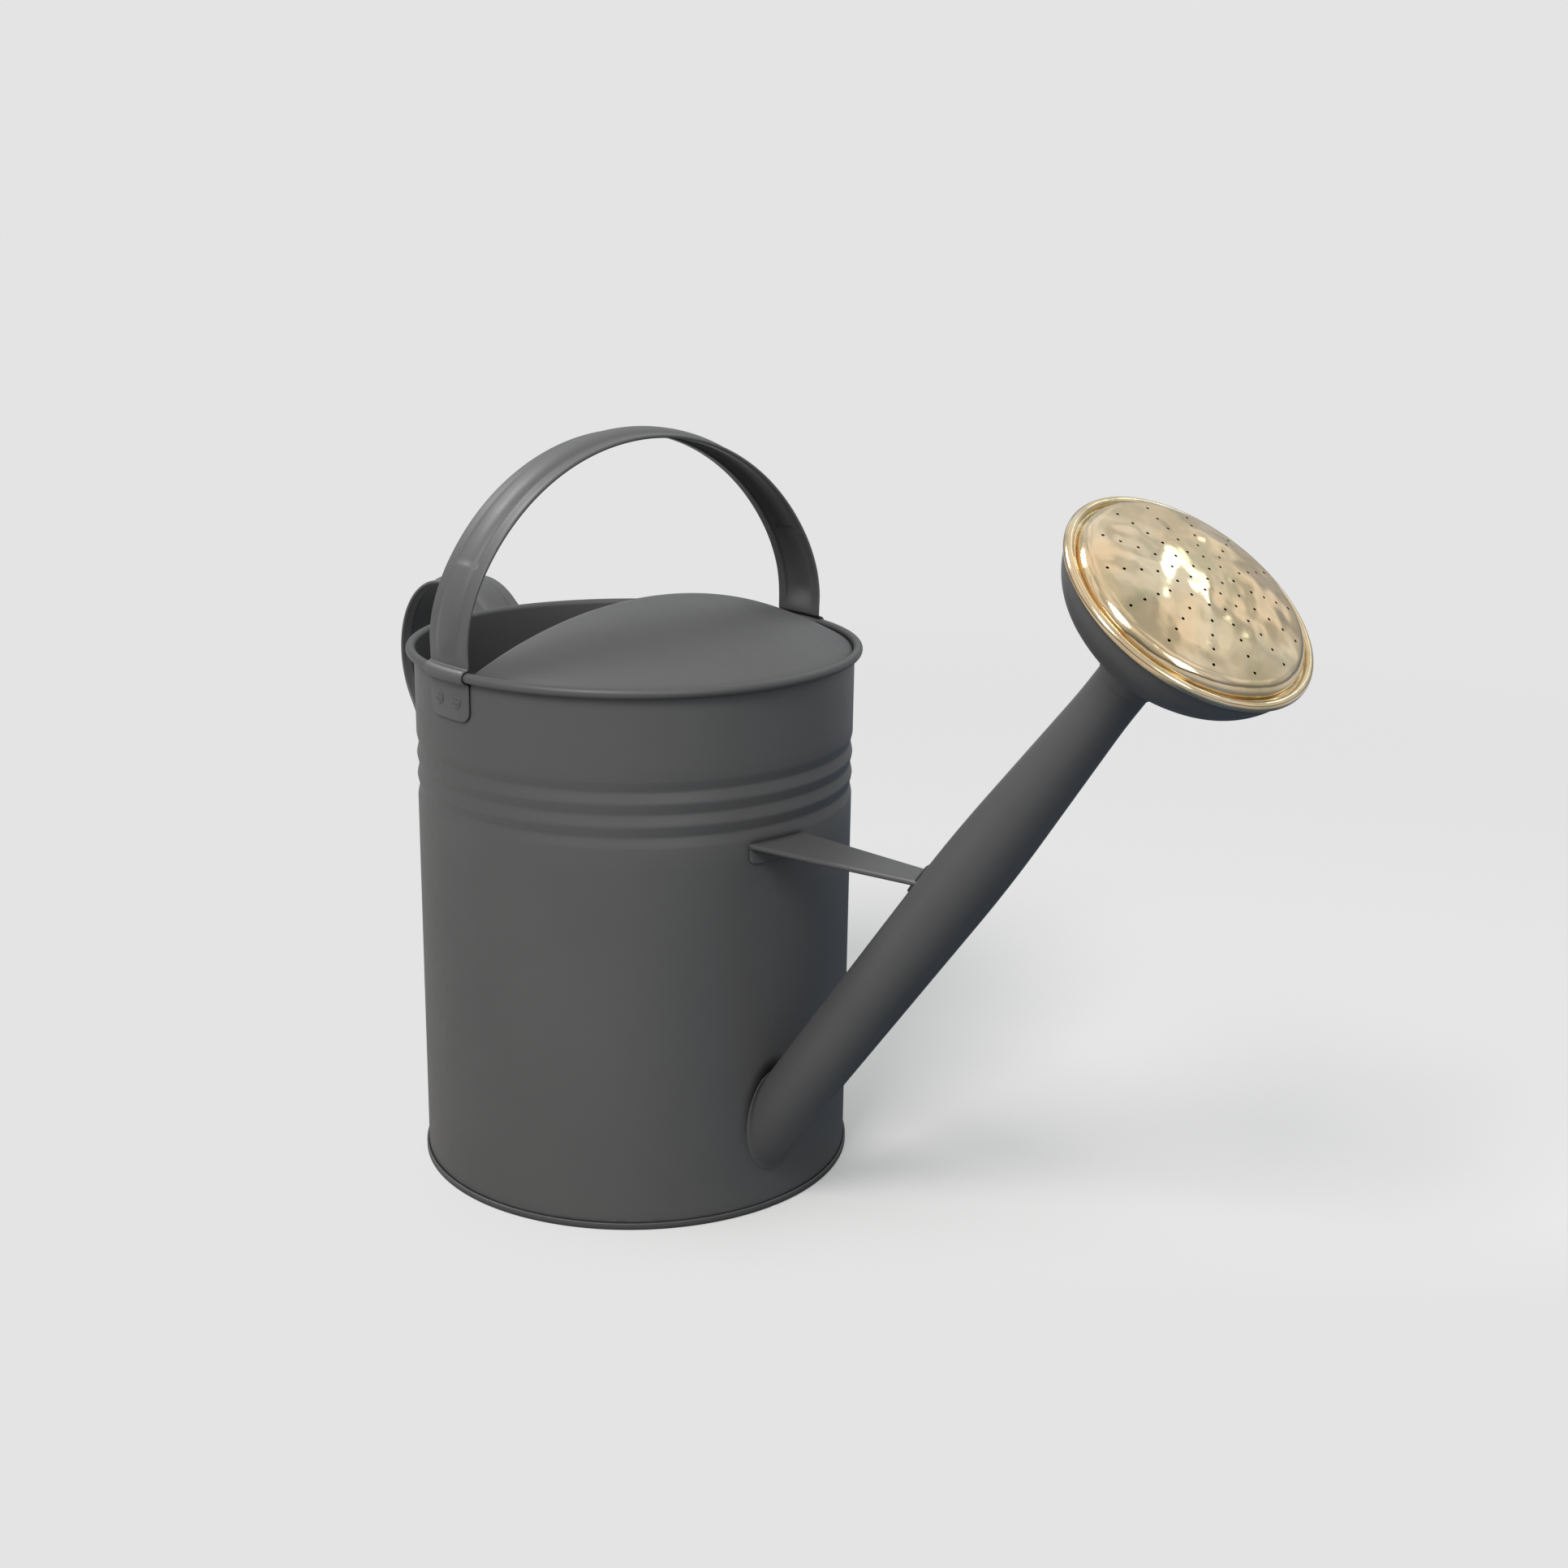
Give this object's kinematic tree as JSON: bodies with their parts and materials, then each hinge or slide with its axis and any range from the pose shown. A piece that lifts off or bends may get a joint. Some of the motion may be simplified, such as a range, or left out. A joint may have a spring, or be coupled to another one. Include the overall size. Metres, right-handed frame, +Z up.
{
  "type": "watering can",
  "caption": "Cylindrical sheet-metal watering can with hoop carry handle, rear tipping handle, half cover, braced straight spout and a large turning rose that pulls off.",
  "frame": {"origin": "on the floor, at the axis of the can, in the plane of the base seam's flat underside", "axes": "+Z up along the can's axis, +X from the can towards the spout, +Y to the left when looking along +X"},
  "size_m": [0.5892, 0.2304, 0.3754],
  "materials": {
    "painted_steel": "satin anthracite paint over galvanised sheet",
    "wire_steel": "drawn galvanised wire",
    "seal_rubber": "matte black",
    "polished_brass": "polished"
  },
  "bodies": {
    "can": {"body_shell": "painted_steel", "rim_wire": "wire_steel", "base_pan": "painted_steel", "half_cover": "painted_steel", "carry_handle": "painted_steel", "rear_handle": "painted_steel", "carry_handle_rivets": "painted_steel", "rear_handle_rivets": "painted_steel", "spout_tube": "painted_steel", "spout_brace": "painted_steel"},
    "seal": {"rose_seal": "seal_rubber"},
    "rose": {"rose_socket": "painted_steel", "rose_cup": "painted_steel", "rose_face": "polished_brass"}
  },
  "joints": [
    {"name": "rose_pull", "type": "slide", "parent": "can", "child": "seal", "axis": [0.6184, 0, 0.7859], "range_m": [0, 0.03]},
    {"name": "rose_turn", "type": "hinge", "parent": "seal", "child": "rose", "pos_m": [0.11, 0, 0.0463], "axis": [0.6184, 0, 0.7859], "continuous": true}
  ]
}
